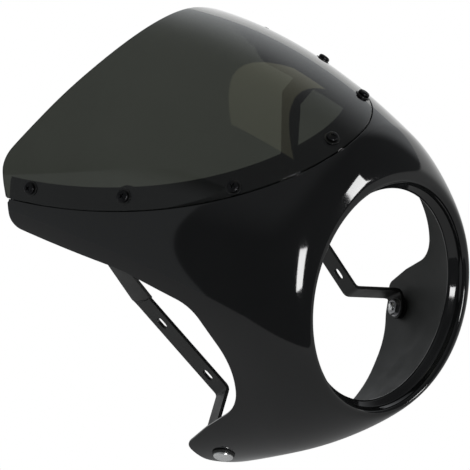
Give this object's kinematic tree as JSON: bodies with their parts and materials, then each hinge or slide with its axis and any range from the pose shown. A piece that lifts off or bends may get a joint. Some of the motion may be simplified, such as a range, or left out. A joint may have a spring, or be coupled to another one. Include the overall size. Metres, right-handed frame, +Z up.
{
  "type": "headlight cowl",
  "caption": "Bikini-style motorcycle headlight cowl: gloss shell with a round lamp opening, smoked windscreen screwed over its upper flange, and slotted steel straps inside.",
  "frame": {"origin": "on the lamp axis, halfway along the land inside the round lamp opening", "axes": "-Y the way the lamp looks, +Z up, -X to the rider's right"},
  "size_m": [0.3234, 0.2649, 0.3737],
  "materials": {
    "shell_gloss": "high gloss black lacquer",
    "screen_smoke": "clear gloss, dark smoke tint",
    "screw_black": "black oxide",
    "washer_nylon": "moulded nylon",
    "nut_zinc": "zinc plated",
    "strap_black": "satin black powder coat",
    "grommet_rubber": "matte",
    "bolt_bright": "polished"
  },
  "bodies": {
    "root": {"fairing_body": "shell_gloss", "windscreen": "screen_smoke", "screen_screws": "screw_black", "screen_washers": "washer_nylon", "screen_nuts": "nut_zinc", "strap_right": "strap_black", "strap_left": "strap_black", "ear_grommets": "grommet_rubber", "ear_bolts": "bolt_bright", "ear_washers": "nut_zinc", "ear_nuts": "nut_zinc"}
  },
  "joints": []
}
